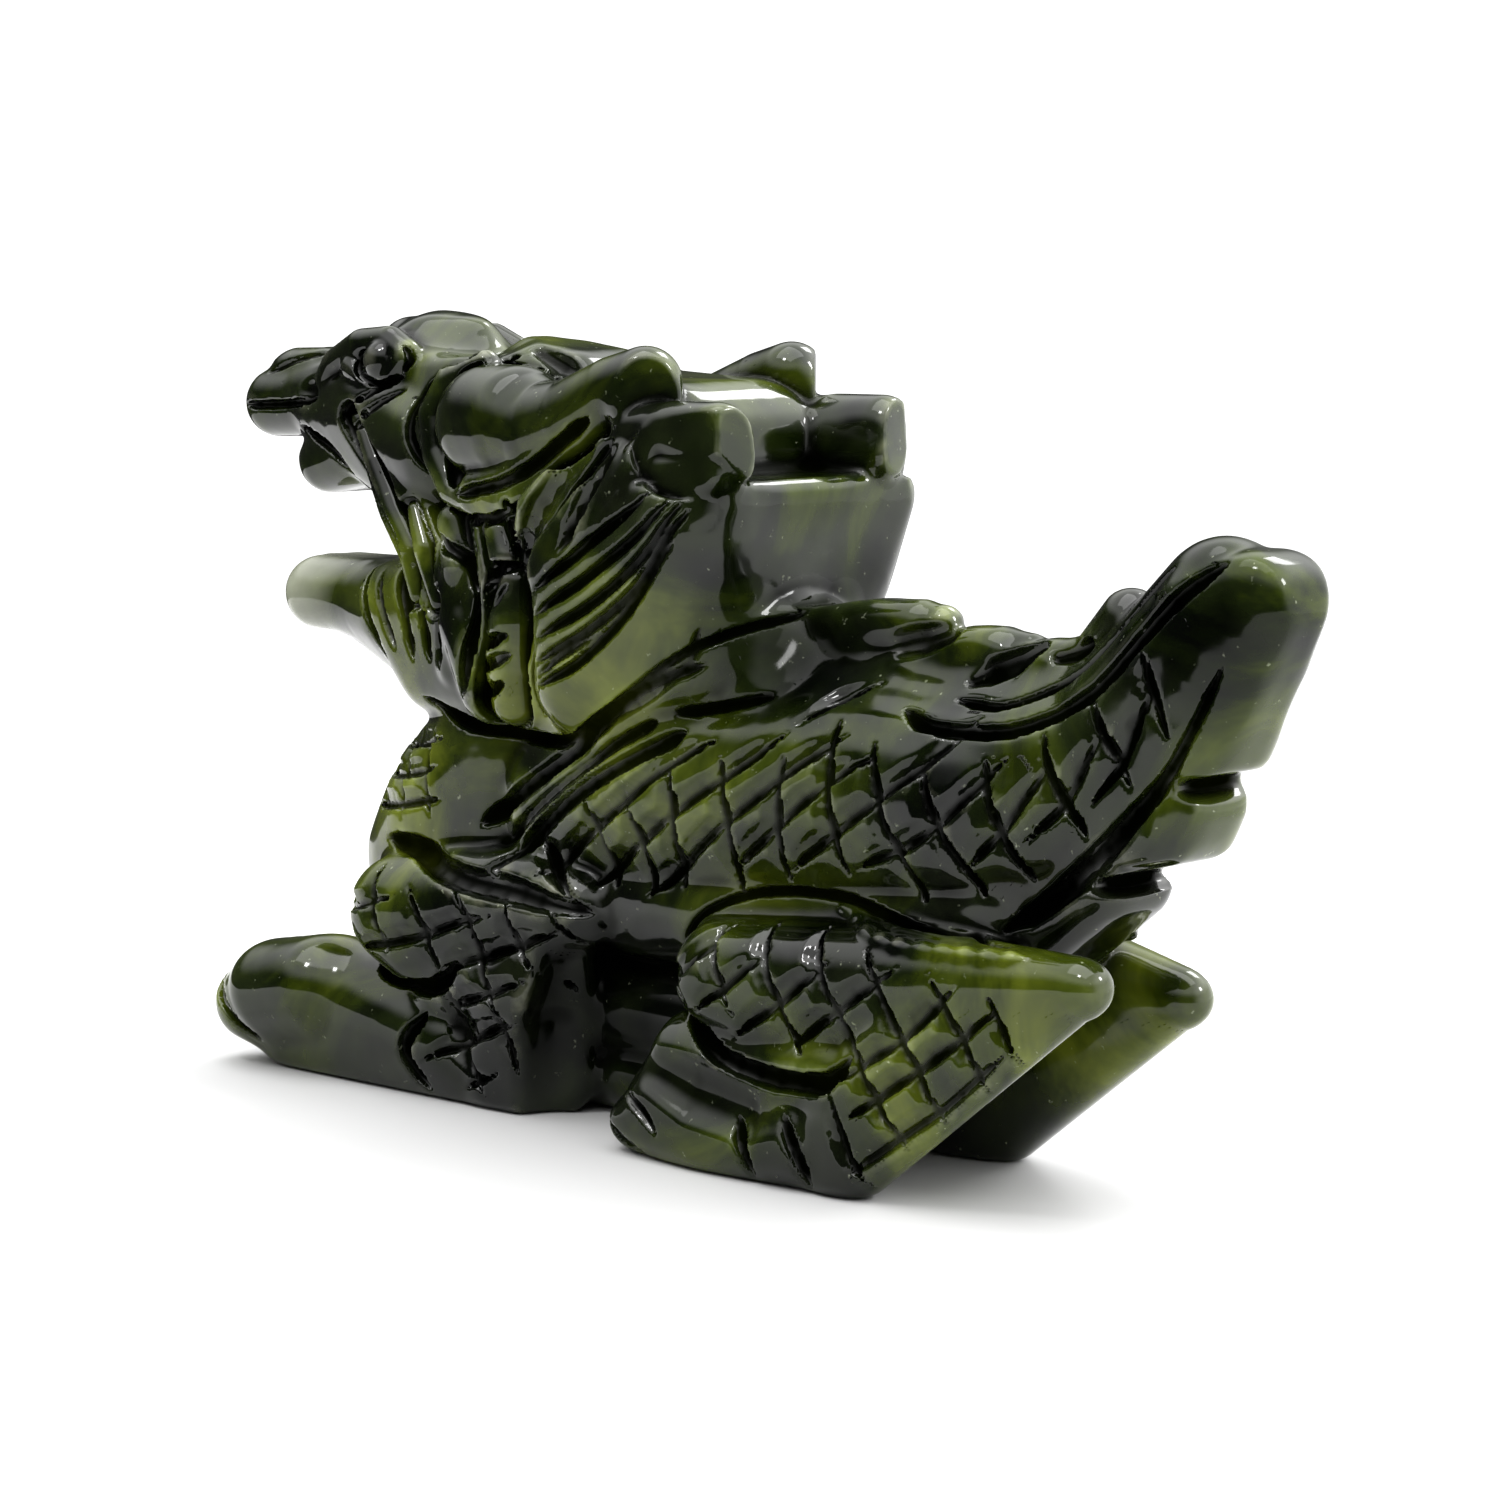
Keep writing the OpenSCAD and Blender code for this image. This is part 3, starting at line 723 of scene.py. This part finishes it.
# Forehead, and the dip between it and the dome behind.
block.limb([(-25.2, 0, 40.6, 1.9), (-22.8, 0, 40.9, 1.8), (-20.6, 0, 40.6, 1.8)], k=0.8)
both_sides([(-23.0, -4.8, 43.2, 1.9), (-20.6, -4.3, 43.1, 2.2), (-18.6, -3.2, 42.8, 2.2),
            (-17.4, -2.2, 42.5, 2.0), (-14.6, -3.0, 42.5, 1.7)], cut=True, k=0.9)
block.limb([(-17.2, -3.0, 42.6, 1.8), (-16.8, 0, 42.3, 1.7), (-17.2, 3.0, 42.6, 1.8)], k=0.8, cut=True)

# Ear: a leaf with two long hollows.
lock([(-7.8, -7.1, 31.2, 0.8), (-6.6, -7.3, 33.0, 1.2), (-4.4, -7.2, 34.9, 1.1), (-1.9, -6.9, 36.8, 0.6)])
both_sides([(-4.6, -7.4, 30.6, 0.9), (-2.0, -7.7, 32.4, 1.1), (0.2, -7.5, 34.7, 1.0),
            (1.6, -7.2, 36.9, 0.7)], k=0.4)

# Lock from the corner of the mouth, a shorter one behind it, and the bundle under the eye.
lock([(-24.6, -4.3, 37.0, 0.55), (-22.8, -4.6, 34.6, 0.85), (-21.1, -4.8, 32.1, 0.95),
      (-19.4, -5.0, 30.0, 0.9), (-18.8, -5.2, 27.6, 0.5)])
lock([(-18.9, -5.2, 32.2, 0.5), (-17.6, -5.6, 30.2, 0.75), (-16.6, -5.6, 27.4, 0.5)])
both_sides([(-15.2, -5.6, 31.8, 1.0), (-14.6, -5.8, 29.6, 1.1), (-14.8, -5.6, 27.4, 1.0),
            (-15.6, -5.2, 24.0, 1.0)], k=0.5)
lock([(-10.8, -6.3, 31.9, 0.9), (-10.0, -6.5, 30.3, 1.0)], moat=0.35)
lock([(-9.8, -6.0, 28.9, 1.0), (-10.0, -6.0, 26.9, 1.4), (-10.4, -5.7, 24.6, 1.6),
      (-10.9, -5.0, 22.6, 1.5)], moat=0.35)

# Eye: a bulge that its lid draws out into a comma, whose end is ground flat.
lock([(-13.2, -4.5, 37.1, 3.2), (-11.0, -4.8, 37.1, 3.15), (-8.6, -5.1, 36.8, 2.7),
      (-5.9, -5.4, 37.5, 2.25), (-2.8, -5.4, 39.0, 1.95), (-0.7, -5.3, 39.6, 1.9)], moat=0.6, out=1.0)
both_sides([(-0.9, -5.9, 38.6, 1.4), (0.2, -5.6, 38.9, 1.4)], k=0.5)
both_slices((-0.1, -6.5, 39.6), (0.72, -0.69, 0.0), 2.3)
both_sides([(0.6, -7.6, 37.4, 0.5), (-1.6, -8.1, 37.7, 0.6)], cut=True, k=0.2)
both_sides([(-11.8, -2.6, 41.0, 0.4), (-9.6, -3.0, 40.3, 0.6), (-7.6, -3.4, 39.9, 0.6)], cut=True, k=0.3)
both_sides([(-14.0, -4.4, 40.2, 0.8), (-16.2, -4.8, 39.2, 1.0), (-17.0, -5.2, 37.4, 1.1),
            (-16.4, -5.6, 35.4, 1.0), (-14.8, -6.0, 33.6, 0.9), (-12.0, -6.4, 32.8, 0.8),
            (-9.4, -6.7, 33.2, 0.8), (-7.0, -6.8, 34.2, 0.6)], k=0.3)
both_sides([(-12.4, -6.2, 33.6, 1.2), (-9.6, -6.4, 34.2, 1.2), (-7.2, -6.4, 35.4, 1.1),
            (-4.6, -6.2, 37.0, 0.9)], k=0.4)

# Nose, nostril ribbon and tongue.
both_sides([(-28.8, -3.6, 38.2, 0.8), (-27.4, -3.7, 39.9, 0.85), (-25.0, -3.8, 41.0, 0.9),
            (-22.6, -3.8, 41.2, 0.9), (-21.0, -4.0, 40.5, 0.9), (-21.7, -4.3, 39.5, 0.8),
            (-23.8, -4.4, 39.2, 0.7), (-25.3, -4.4, 39.8, 0.6)], k=0.2)
both_sides([(-22.6, -4.3, 40.2, 1.15)], k=0.15)
both_sides([(-29.8, -4.4, 38.5, 1.0), (-28.9, -4.9, 38.3, 0.8)], k=0.3, cut=True)
for y in (0, 1.4, -1.4):
    block.limb([(-32.5 + abs(y) * 0.5, y, 26.7, 2.1), (-27.5, y, 26.6, 2.1)], k=0.5)

# Horn blocks, each with a ground face.
both_sides([(-0.6, -5.8, 37.1, 1.5), (2.2, -6.0, 37.3, 1.5), (5.2, -6.0, 37.3, 1.5)], k=0.3)
both_sides([(0.6, -6.5, 35.3, 1.1), (5.0, -6.3, 35.3, 1.1)], k=0.3)
both_slices((3.8, -7.25, 37.0), (0.15, -1, 0.05), 3.0)
both_slices((6.3, -6.0, 37.0), (1, -0.2, 0.05), 2.6)

block.freeze()


def scale_cut(points, lean=(-0.42, 0.05), r=0.3):
    """A cut with a bevel beside it, on the lean's side, so that the scale there looks raised."""
    block.groove(points, r=r, sink=0.2, taper=2.2)
    moved = [(p[0] + 0.75 * lean[0], p[1] + 0.75 * lean[1]) for p in points]
    block.groove(moved, r=0.8, sink=-0.52, taper=2.2)


STEEP = [
    [(-9.6, 15.5), (-7.6, 14.2), (-5.2, 12.4)],
    [(-4.8, 18.0), (-3.9, 15.6), (-3.7, 13.0)],
    [(-1.5, 18.6), (-0.8, 16.0), (-1.0, 13.1)],
    [(1.6, 20.6), (2.0, 18.4), (1.3, 13.7)],
    [(5.4, 21.0), (5.8, 17.6), (5.5, 14.2)],
    [(9.7, 21.6), (9.4, 18.4), (9.1, 15.0)],
    [(12.5, 23.4), (12.8, 19.6), (13.3, 15.8)],
    [(15.2, 22.6), (16.3, 18.8), (17.9, 15.0)],
    [(18.3, 22.2), (19.5, 19.0), (21.6, 15.6)],
    [(21.9, 22.3), (22.7, 19.6), (24.2, 16.6)],
    [(24.9, 23.8), (25.7, 21.4), (27.1, 19.0)],
    [(27.5, 25.7), (28.4, 23.7), (29.7, 21.6)],
    [(30.3, 28.3), (30.9, 26.2), (31.9, 24.0)],
]
RISING = [
    [(-8.4, 13.4), (-5.2, 15.6), (-1.6, 17.9), (1.6, 20.2), (4.9, 21.9)],
    [(-5.0, 13.2), (-2.0, 15.1), (1.2, 17.2), (3.4, 18.6), (7.2, 20.9), (9.6, 22.6)],
    [(-1.4, 13.0), (1.6, 14.8), (5.6, 17.6), (7.6, 18.9), (10.0, 20.6), (13.4, 22.9)],
    [(5.6, 15.2), (9.0, 17.6), (13.0, 20.6), (15.4, 22.0)],
    [(9.6, 15.6), (13.6, 18.2), (16.2, 20.1), (19.0, 22.2), (20.6, 24.2)],
    [(14.0, 16.2), (17.8, 17.8), (20.4, 19.7), (23.2, 22.6)],
    [(20.8, 16.8), (23.4, 19.3), (25.4, 22.4)],
    [(24.2, 18.4), (26.2, 20.6), (28.1, 24.0)],
    [(27.4, 20.6), (29.0, 22.6), (30.9, 26.4)],
    [(10.0, 23.0), (11.6, 24.2), (13.4, 25.2)],
]
for line in STEEP:
    scale_cut(line, r=0.36)
for line in RISING:
    scale_cut(line, lean=(-0.22, 0.34), r=0.26)

# Long creases that run from the chest up past the mane to the back, and along the thigh's top.
block.groove([(-14.0, 15.5, 0.5), (-6.6, 20.0, 0.6), (0.5, 24.0, 0.45), (4.2, 25.6, 0.3)], sink=0.1)
block.groove([(-12.2, 13.2), (-6.5, 17.4), (-1.2, 20.3), (2.4, 22.0)], r=0.5, sink=0.1)
block.groove([(-12.0, 14.8), (-8.0, 17.6), (-3.0, 20.6), (0.5, 22.4)], r=0.36)
block.groove([(1.6, 22.9), (4.4, 23.4), (7.5, 24.2)], r=0.3)
block.groove([(-3.0, 22.0), (0.6, 23.6), (3.4, 25.6), (4.2, 27.4)], r=0.3)

# Tail: two lines that follow its back edge, and a wide one that sets off the smooth strip behind.
block.groove([(16.0, 24.2), (18.1, 23.6), (22.8, 23.8), (26.9, 25.6), (28.7, 27.1), (30.4, 28.9),
              (32.5, 30.8), (34.4, 32.4)], r=0.42, sink=0.15)
block.groove([(18.5, 24.8), (21.6, 24.8), (25.0, 26.2), (27.4, 28.0), (29.4, 30.2), (31.4, 32.0)],
             r=0.28, sink=0.1)
block.groove([(22.4, 14.0, 0.35), (25.0, 15.8, 0.6), (27.2, 17.6, 0.7), (29.2, 19.6, 0.6),
              (31.5, 22.1, 0.4), (33.0, 24.5, 0.28), (34.6, 27.6, 0.24)], sink=0.1, taper=1.5)

# Front limb.
block.groove([(-21.8, 13.9, 0.4), (-18.2, 13.7, 0.7), (-13.7, 12.9, 0.8), (-9.4, 12.6, 0.8),
              (-4.5, 11.8, 0.4)], sink=0.1)
block.groove([(-23.6, 10.6), (-23.1, 7.9), (-20.6, 6.4), (-16.4, 6.4), (-13.5, 8.0)], r=0.55, sink=0.3)
for line in ([(-23.2, 10.1), (-21.0, 10.6), (-18.2, 11.4)],
             [(-21.8, 7.9), (-16.9, 9.1), (-13.7, 10.3), (-11.0, 11.1)],
             [(-15.4, 7.6), (-11.6, 8.8), (-6.6, 10.5)],
             [(-15.1, 5.4), (-11.8, 6.6), (-8.6, 7.8)],
             [(-17.0, 2.3), (-12.7, 4.2), (-9.2, 5.4)],
             [(-14.3, 1.0), (-11.6, 2.3)]):
    scale_cut(line, lean=(-0.12, 0.36), r=0.26)
for line in ([(-22.6, 12.2), (-22.4, 10.6), (-21.8, 8.2)],
             [(-20.3, 12.8), (-19.9, 10.6), (-18.9, 8.1)],
             [(-17.2, 12.0), (-16.2, 10.1), (-15.2, 7.4)],
             [(-13.8, 12.4), (-12.6, 10.3), (-11.8, 7.7), (-10.5, 5.4)],
             [(-9.8, 12.2), (-9.6, 10.3), (-8.4, 8.5), (-7.6, 7.0)],
             [(-6.9, 12.0), (-6.3, 10.5), (-5.5, 9.3)],
             [(-14.6, 7.3), (-14.5, 4.6), (-13.6, 2.4), (-12.8, 0.8)],
             [(-11.1, 5.6), (-10.4, 4.0), (-10.2, 2.4)]):
    scale_cut(line)
block.groove([(-17.1, 4.8), (-18.4, 2.7), (-17.2, 0.5)], r=0.5, sink=0.2)
block.groove([(-33.8, 4.7), (-32.2, 3.4), (-30.7, 1.5)], r=0.42, sink=0.2)

# Rear limb.
block.groove([(1.4, 11.0), (3.4, 12.9), (7.0, 14.2), (12.1, 14.6), (17.5, 13.9), (24.6, 13.8)],
             r=0.25, sink=0.1)
for line in ([(2.6, 8.8), (4.6, 10.6), (6.6, 12.8)],
             [(5.0, 8.2), (7.8, 10.1), (10.0, 12.1)],
             [(7.6, 7.2), (11.0, 9.4), (14.2, 12.0)],
             [(11.4, 7.2), (15.0, 9.6), (18.6, 12.2)],
             [(14.0, 5.7), (17.1, 7.5), (19.2, 8.8), (22.6, 11.9)],
             [(15.2, 4.1), (18.4, 6.2), (22.0, 8.7), (24.8, 10.9)],
             [(15.4, 1.4), (18.6, 3.6), (21.5, 5.6), (25.2, 8.8)]):
    scale_cut(line, lean=(-0.25, 0.35), r=0.26)
for line in ([(2.9, 11.4), (3.2, 10.0), (4.2, 8.6)],
             [(5.6, 12.6), (6.4, 10.8), (7.9, 8.4)],
             [(9.0, 13.2), (9.9, 11.2), (11.4, 8.4), (12.2, 6.9)],
             [(12.6, 13.4), (14.2, 10.2), (16.0, 7.3), (17.4, 5.3), (18.9, 3.2)],
             [(16.3, 12.8), (18.7, 9.1), (20.0, 7.2), (21.2, 4.8)],
             [(20.7, 12.2), (22.1, 10.0), (23.2, 8.4), (23.8, 6.7)],
             [(24.4, 11.6), (25.2, 10.1), (25.9, 8.3)],
             [(14.2, 5.8), (15.1, 3.4), (16.3, 0.8)]):
    scale_cut(line)
block.groove([(2.4, 8.4, 0.3), (4.6, 7.2, 0.5), (7.6, 5.9, 0.6), (11.2, 5.5, 0.65), (14.0, 5.9, 0.55),
              (15.4, 7.4, 0.35)], sink=0.25, taper=1.6)
block.ridge([(12.6, 14.1), (15.0, 13.5), (18.0, 13.2), (22.0, 13.3), (26.0, 13.5)], r=0.4, proud=0.2)
block.groove([(8.0, 3.2), (8.8, 1.8), (9.2, 0.4)], r=0.42)
block.groove([(11.2, 3.8), (12.2, 2.2), (12.8, 0.4)], r=0.42)
block.groove([(-1.4, 1.8), (-0.2, 0.9), (1.3, 0.2)], r=0.36)
block.groove([(0.4, 3.4), (1.8, 2.6), (2.8, 1.6)], r=0.28)

# Chest scales.
for line in ([(-24.4, 15.4), (-20.8, 15.9), (-16.8, 16.6)],
             [(-24.2, 17.2), (-20.6, 17.6), (-17.0, 18.3)],
             [(-23.0, 18.9), (-20.0, 19.3), (-17.2, 19.9)]):
    scale_cut(line, lean=(-0.05, 0.4), r=0.26)
for line in ([(-22.6, 19.6), (-23.2, 17.4), (-23.0, 15.2)],
             [(-20.6, 20.2), (-20.9, 17.6), (-20.3, 15.2)],
             [(-18.4, 20.4), (-18.5, 18.0), (-17.8, 15.6)]):
    scale_cut(line)

# ---- head -------------------------------------------------------------------------------------------------

# Collar under the throat, and the creases between the locks.
block.groove([(-18.6, 21.9, 0.42), (-15.4, 21.0, 0.42), (-12.3, 20.7, 0.42), (-7.1, 20.6, 0.4),
              (-3.5, 21.9, 0.32), (2.2, 25.4, 0.28), (7.4, 28.6, 0.24)], sink=0.15)
block.groove([(-9.3, 33.2), (-7.7, 31.2), (-7.3, 28.4), (-7.6, 25.2), (-8.3, 22.0)], r=0.75, sink=0.45)
block.groove([(-13.4, 32.2), (-12.4, 30.2), (-12.5, 27.4), (-13.4, 22.6)], r=0.5, sink=0.3)
block.groove([(-16.8, 32.2), (-15.4, 30.8), (-13.6, 30.0), (-12.8, 28.2)], r=0.4, sink=0.2)
block.groove([(-20.4, 29.4), (-19.7, 27.2), (-19.0, 24.2)], r=0.45, sink=0.2)
block.groove([(-18.2, 27.6), (-17.6, 26.2), (-17.3, 24.2)], r=0.4, sink=0.2)
block.groove([(-15.6, 28.4), (-15.9, 26.0), (-16.1, 24.0)], r=0.4, sink=0.2)
block.groove([(-11.9, 25.4), (-9.4, 26.2)], r=0.4, sink=0.2)
block.groove([(-12.0, 24.2), (-9.3, 25.2)], r=0.4, sink=0.15)
block.groove([(-12.2, 22.8), (-10.0, 23.6)], r=0.4, sink=0.15)
block.groove([(-11.6, 28.4), (-10.2, 29.4), (-9.2, 30.4)], r=0.35, sink=0.15)
block.groove([(-10.9, 27.4), (-9.6, 28.8)], r=0.3, sink=0.15)
block.groove([(-24.7, 28.9), (-24.0, 27.0), (-23.2, 25.2), (-22.1, 22.9)], r=0.5, sink=0.25)
block.groove([(-22.6, 28.6), (-22.0, 26.8), (-20.9, 24.6)], r=0.35, sink=0.1)

# Mane strands.
for line in ([(-6.3, 28.8), (-2.6, 30.9), (1.2, 33.3), (2.6, 34.3)],
             [(-6.5, 27.5), (-1.9, 29.8), (1.8, 32.1), (3.9, 34.0)],
             [(-6.1, 26.4), (-1.3, 28.7), (2.4, 31.3), (4.3, 33.8)],
             [(-6.5, 25.1), (-1.9, 27.2), (1.8, 29.8), (4.6, 33.4)],
             [(-6.6, 23.8), (-3.2, 25.3), (0.6, 28.2), (3.9, 31.8)],
             [(-6.4, 24.4), (-3.8, 25.9), (-1.0, 27.0)]):
    block.groove(line, r=0.32, sink=0.16, taper=3.0)
block.groove([(-7.4, 30.9, 0.3), (-6.4, 32.2, 0.7), (-5.2, 33.7, 0.85), (-3.8, 35.2, 0.7),
              (-2.2, 36.6, 0.35)], sink=0.1, k=0.2)
block.groove([(-3.9, 31.0, 0.3), (-3.0, 32.4, 0.6), (-2.2, 33.8, 0.7), (-1.2, 35.4, 0.6),
              (-0.4, 36.6, 0.4)], sink=0.1, k=0.2)

# Wrinkles round the eye, the creases under and over it, nostril, lips and nose.
block.groove([(-12.6, 40.7), (-14.7, 39.7), (-15.3, 38.3), (-15.5, 37.1), (-15.1, 35.7), (-13.7, 33.6)],
             r=0.42, sink=0.2)
block.groove([(-14.3, 40.8), (-16.5, 40.1), (-18.0, 39.0), (-18.5, 37.7), (-18.2, 36.2), (-17.0, 34.5),
              (-15.6, 33.3)], r=0.36, sink=0.15)
block.groove([(-13.4, 33.4), (-11.8, 33.7), (-9.4, 34.2), (-7.2, 35.1), (-4.8, 36.6), (-3.0, 37.8)],
             r=0.38, sink=0.2)
block.groove([(-15.2, 32.7), (-12.4, 32.1), (-9.4, 32.5), (-7.2, 33.4)], r=0.36, sink=0.2)
block.groove([(-13.0, 40.5), (-11.4, 40.1), (-9.9, 39.7), (-8.4, 39.3)], r=0.3, sink=0.1, elevation=25)
block.groove([(-23.7, 40.8), (-24.3, 40.1), (-23.7, 39.3), (-22.0, 38.9), (-20.5, 39.4)],
             r=0.24, sink=0.12)
block.groove([(-20.7, 41.1), (-20.1, 40.4), (-20.6, 39.6)], r=0.3, sink=0.15)
block.groove([(-20.8, 39.4), (-23.1, 38.3), (-25.6, 37.0)], r=0.24, sink=0.1)
block.groove([(-20.2, 38.7), (-22.5, 37.5), (-24.8, 36.3)], r=0.26, sink=0.1)
block.groove([(-24.9, 36.6), (-23.0, 34.0), (-20.9, 31.4), (-19.6, 29.8)], r=0.24, sink=0.05)
block.groove([(-36.6, 37.3), (-33.4, 37.4), (-31.0, 37.6), (-28.4, 38.0)], r=0.26, sink=0.15)
block.groove([(-34.9, 39.2), (-32.5, 40.0), (-30.3, 40.4)], r=0.22, sink=0.05)
block.groove([(-31.0, 36.2), (-28.0, 35.2), (-26.2, 33.8)], r=0.4, sink=0.15)

build_pieces(block.f, label_of, stone_material())

# ---- floor, light and camera ------------------------------------------------------------------------------

length = HIGH[0] - LOW[0]
middle = Vector(((LOW[0] + HIGH[0]) / 2, 0.0, (LOW[2] + HIGH[2]) / 2))


def plain(name, colour, roughness):
    mat = bpy.data.materials.new(name)
    mat.use_nodes = True
    shader = mat.node_tree.nodes["Principled BSDF"]
    shader.inputs["Base Color"].default_value = colour
    shader.inputs["Roughness"].default_value = roughness
    return mat


bpy.ops.mesh.primitive_circle_add(
    vertices=96, radius=2.1 * length, fill_type="NGON", location=(0, 0, LOW[2]))
floor = bpy.context.object
floor.name = "floor"
floor.data.materials.append(plain("floor", (0.55, 0.55, 0.55, 1), 0.6))

# The studio is white to look at. What the stone reflects is brighter overhead and on the picture's right.
world = bpy.data.worlds.new("studio")
bpy.context.scene.world = world
world.use_nodes = True
wn, wl = world.node_tree.nodes, world.node_tree.links
directions = wn.new("ShaderNodeTexCoord")


def lobe(direction, stops):
    """A brightness that depends on how near a direction is to the one given, with stops
    (cosine, brightness)."""
    dot = wn.new("ShaderNodeVectorMath")
    dot.operation = "DOT_PRODUCT"
    dot.inputs[1].default_value = direction
    wl.new(directions.outputs["Generated"], dot.inputs[0])
    r = wn.new("ShaderNodeValToRGB")
    r.color_ramp.interpolation = "EASE"
    for element, (cosine, brightness) in zip(r.color_ramp.elements, stops):
        element.position = cosine
        element.color = grey(brightness)
    wl.new(dot.outputs["Value"], r.inputs["Fac"])
    return r


back = lobe((0.62, 0.78, 0.05), [(0.15, 0.04), (0.85, 1.0)])
above = lobe((0, 0, 1), [(0.27, 0.0), (0.66, 0.85)])
both = wn.new("ShaderNodeMix")
both.data_type = "RGBA"
both.blend_type = "ADD"
both.inputs["Factor"].default_value = 1.0
wl.new(back.outputs["Color"], both.inputs["A"])
wl.new(above.outputs["Color"], both.inputs["B"])
room = wn["Background"]
wl.new(both.outputs["Result"], room.inputs["Color"])
room.inputs["Strength"].default_value = 1.9
white = wn.new("ShaderNodeBackground")
white.inputs["Color"].default_value = (1, 1, 1, 1)
white.inputs["Strength"].default_value = 1.05
seen = wn.new("ShaderNodeLightPath")
pick = wn.new("ShaderNodeMixShader")
wl.new(seen.outputs["Is Camera Ray"], pick.inputs["Fac"])
wl.new(room.outputs["Background"], pick.inputs[1])
wl.new(white.outputs["Background"], pick.inputs[2])
wl.new(pick.outputs["Shader"], wn["World Output"].inputs["Surface"])


def seen_from(azimuth, elevation):
    """The direction towards a viewer. azimuth 0 is at -Y and runs towards +X."""
    a, e = math.radians(azimuth), math.radians(elevation)
    return Vector((math.sin(a) * math.cos(e), -math.cos(a) * math.cos(e), math.sin(e)))


def softbox(name, azimuth, elevation, size, power):
    """A square lamp a long way off that looks at the figure. Its size is an angle, in degrees."""
    data = bpy.data.lights.new(name, "AREA")
    data.shape = "RECTANGLE"
    distance = 20 * length
    data.size = data.size_y = 2 * distance * math.tan(math.radians(size / 2))
    data.energy = power * data.size * data.size * math.pi
    lamp = bpy.data.objects.new(name, data)
    bpy.context.scene.collection.objects.link(lamp)
    way = seen_from(azimuth, elevation)
    lamp.location = middle + way * distance
    lamp.rotation_euler = way.to_track_quat("Z", "Y").to_euler()


softbox("overhead", 0, 84, 52, 2.0)
softbox("key", 5, 58, 7, 30)
softbox("side", 122, 38, 11, 22)
softbox("rear", 190, 45, 16, 8)

AZIMUTH, ELEVATION = 45, 7.5
DISTANCE = 208 * UNIT
aim = Vector(to_metres([1.5, 0, 20.5]))
way = seen_from(AZIMUTH, ELEVATION)
camera_data = bpy.data.cameras.new("camera")
camera_data.sensor_width = 36
camera_data.lens = 96
camera_data.clip_start = 0.01
camera = bpy.data.objects.new("camera", camera_data)
bpy.context.scene.collection.objects.link(camera)
camera.location = aim + way * DISTANCE
camera.rotation_euler = way.to_track_quat("Z", "Y").to_euler()
bpy.context.scene.camera = camera
bpy.context.scene.view_settings.view_transform = "Standard"
bpy.context.scene.view_settings.look = "Medium High Contrast"
